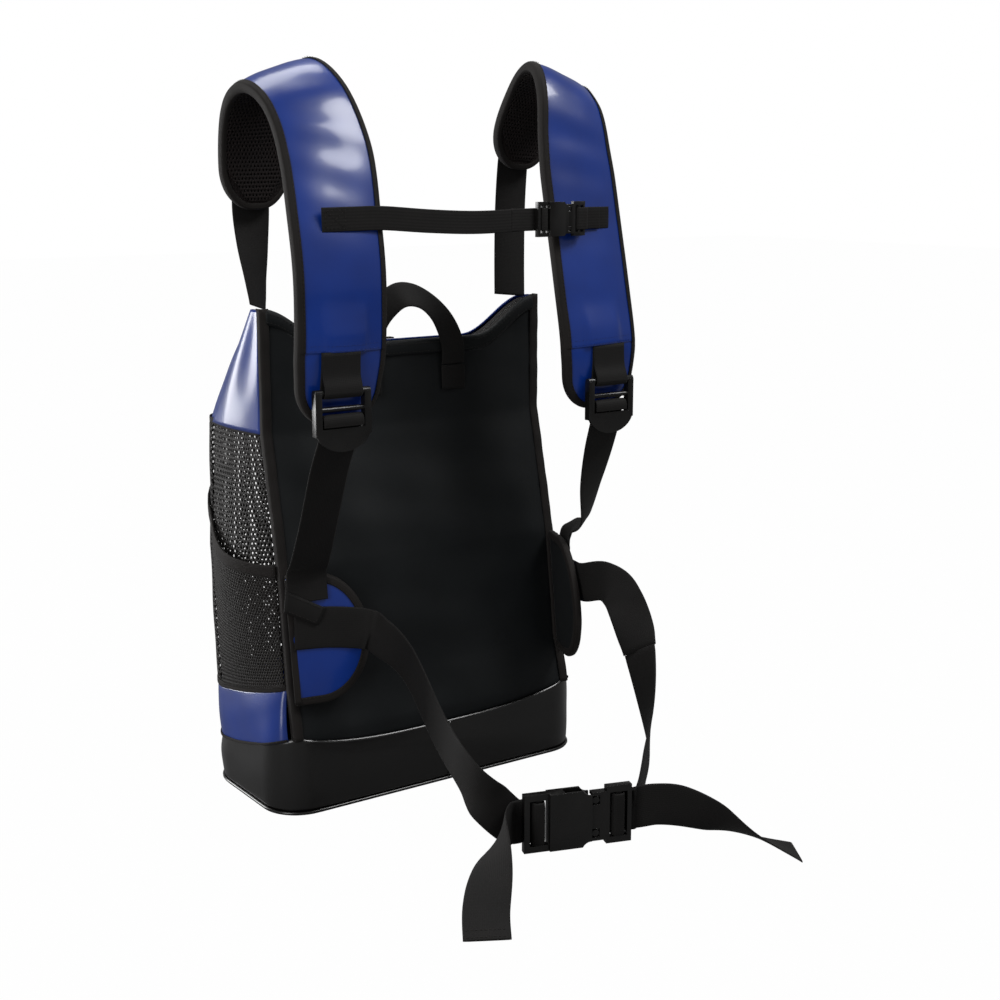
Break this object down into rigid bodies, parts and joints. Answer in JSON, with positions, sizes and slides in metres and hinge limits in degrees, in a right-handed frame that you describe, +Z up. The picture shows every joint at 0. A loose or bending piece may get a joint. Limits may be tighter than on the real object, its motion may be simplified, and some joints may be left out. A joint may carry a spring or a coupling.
{
  "type": "harness bag",
  "caption": "Backpack-style harness bag with glossy rigid base, mesh sides, padded shoulder straps, chest strap, hip fins and a waist belt.",
  "frame": {"origin": "centre of the underside of the base, on the surface it stands on", "axes": "+Z up, -Y towards the wearer's side with the padded panel and harness, +X to the right seen from that side"},
  "size_m": [0.3733, 0.5207, 0.6851],
  "materials": {
    "blue_vinyl": "gloss",
    "black_vinyl": "gloss",
    "side_mesh": "open mesh",
    "air_mesh": "air mesh",
    "foam": "foam",
    "stiffener": "matte",
    "zip_metal": "satin",
    "buckle_plastic": "satin",
    "webbing": "woven",
    "binding": "woven tape",
    "nylon": "matte"
  },
  "bodies": {
    "bag": {"wearer_panel": "nylon", "wearer_panel_foam": "foam", "outer_top_panel": "blue_vinyl", "outer_mesh_panel": "side_mesh", "left_top_gusset": "blue_vinyl", "right_top_gusset": "blue_vinyl", "left_mesh_panel": "side_mesh", "right_mesh_panel": "side_mesh", "left_mesh_pocket": "side_mesh", "right_mesh_pocket": "side_mesh", "lower_band": "blue_vinyl", "left_edge_binding": "binding", "right_edge_binding": "binding", "top_hem": "nylon", "base_boot": "black_vinyl", "base_floor": "nylon", "base_board": "stiffener", "base_piping": "binding", "zip_tape": "binding", "handle_patches": "webbing", "left_upper_webbing": "webbing", "right_upper_webbing": "webbing", "left_pad_vinyl": "blue_vinyl", "left_pad_foam": "foam", "left_pad_lining": "air_mesh", "left_pad_binding": "binding", "right_pad_vinyl": "blue_vinyl", "right_pad_foam": "foam", "right_pad_lining": "air_mesh", "right_pad_binding": "binding", "left_ladder_loop": "webbing", "right_ladder_loop": "webbing", "left_lower_webbing": "webbing", "right_lower_webbing": "webbing", "left_fin_tab": "webbing", "right_fin_tab": "webbing", "left_hip_fin": "blue_vinyl", "right_hip_fin": "blue_vinyl", "left_fin_lining": "nylon", "right_fin_lining": "nylon", "left_fin_binding": "binding", "right_fin_binding": "binding", "left_chest_webbing": "webbing", "right_chest_webbing": "webbing", "chest_latch": "buckle_plastic"},
    "carry_handle": {"grab_handle": "webbing"},
    "left_lock": {"left_ladder_lock": "buckle_plastic"},
    "right_lock": {"right_ladder_lock": "buckle_plastic"},
    "zip_runner": {"zip_slider": "zip_metal"},
    "zip_puller": {"zip_pull": "zip_metal"},
    "belt_loop": {"left_belt": "webbing", "right_belt": "webbing", "waist_housing": "buckle_plastic"},
    "waist_clip": {"waist_latch": "buckle_plastic"},
    "waist_prong_a": {"waist_prong_upper": "buckle_plastic"},
    "waist_prong_b": {"waist_prong_lower": "buckle_plastic"},
    "chest_socket": {"chest_housing": "buckle_plastic"},
    "chest_prong_a": {"chest_prong_upper": "buckle_plastic"},
    "chest_prong_b": {"chest_prong_lower": "buckle_plastic"}
  },
  "joints": [
    {"name": "handle_fold", "type": "hinge", "parent": "bag", "child": "carry_handle", "pos_m": [0, -0.0362, 0.402], "axis": [1, 0, 0], "range_deg": [0, 95]},
    {"name": "left_lock_tilt", "type": "hinge", "parent": "bag", "child": "left_lock", "pos_m": [-0.145, -0.1598, 0.404], "axis": [1, 0, 0], "range_deg": [-40, 0], "deforming": ["left_lower_webbing"]},
    {"name": "right_lock_tilt", "type": "hinge", "parent": "bag", "child": "right_lock", "pos_m": [0.147, -0.1526, 0.391], "axis": [1, 0, 0], "range_deg": [-40, 0], "deforming": ["right_lower_webbing"]},
    {"name": "zip_run", "type": "slide", "parent": "bag", "child": "zip_runner", "axis": [1, 0, 0], "range_m": [-0.028, 0.1]},
    {"name": "zip_pull_lift", "type": "hinge", "parent": "zip_runner", "child": "zip_puller", "pos_m": [-0.04, -0.018, 0.4291], "axis": [0, 1, 0], "range_deg": [-140, 0]},
    {"name": "belt_lift", "type": "hinge", "parent": "bag", "child": "belt_loop", "pos_m": [-0.075, -0.089, 0.17], "axis": [0.9668, -0.255, 0.0177], "range_deg": [-75, 0], "deforming": ["left_belt", "right_belt"]},
    {"name": "waist_release", "type": "slide", "parent": "belt_loop", "child": "waist_clip", "axis": [0.9511, -0.309, 0], "range_m": [0, 0.034], "deforming": ["right_belt"]},
    {"name": "waist_prong_squeeze", "type": "hinge", "parent": "waist_clip", "child": "waist_prong_a", "pos_m": [0.00799, -0.3123, 0.059], "axis": [0.309, 0.9511, 0], "range_deg": [-8, 0], "stiffness_Nm_per_rad": 0.2},
    {"name": "waist_prong_squeeze_lower", "type": "hinge", "parent": "waist_clip", "child": "waist_prong_b", "pos_m": [0.00799, -0.3123, 0.029], "axis": [0.309, 0.9511, 0], "range_deg": [0, 8], "stiffness_Nm_per_rad": 0.2},
    {"name": "chest_release", "type": "slide", "parent": "bag", "child": "chest_socket", "axis": [-0.9945, -0.1045, 0], "range_m": [0, 0.02], "deforming": ["left_chest_webbing"]},
    {"name": "chest_prong_squeeze", "type": "hinge", "parent": "bag", "child": "chest_prong_a", "pos_m": [0.10651, -0.13874, 0.55], "axis": [-0.1045, 0.9945, 0], "range_deg": [-8, 0], "stiffness_Nm_per_rad": 0.1},
    {"name": "chest_prong_squeeze_lower", "type": "hinge", "parent": "bag", "child": "chest_prong_b", "pos_m": [0.10651, -0.13874, 0.532], "axis": [-0.1045, 0.9945, 0], "range_deg": [0, 8], "stiffness_Nm_per_rad": 0.1}
  ],
  "couplings": [
    {"joint": "waist_prong_squeeze_lower", "follows": "waist_prong_squeeze", "ratio": -1},
    {"joint": "chest_prong_squeeze_lower", "follows": "chest_prong_squeeze", "ratio": -1}
  ]
}
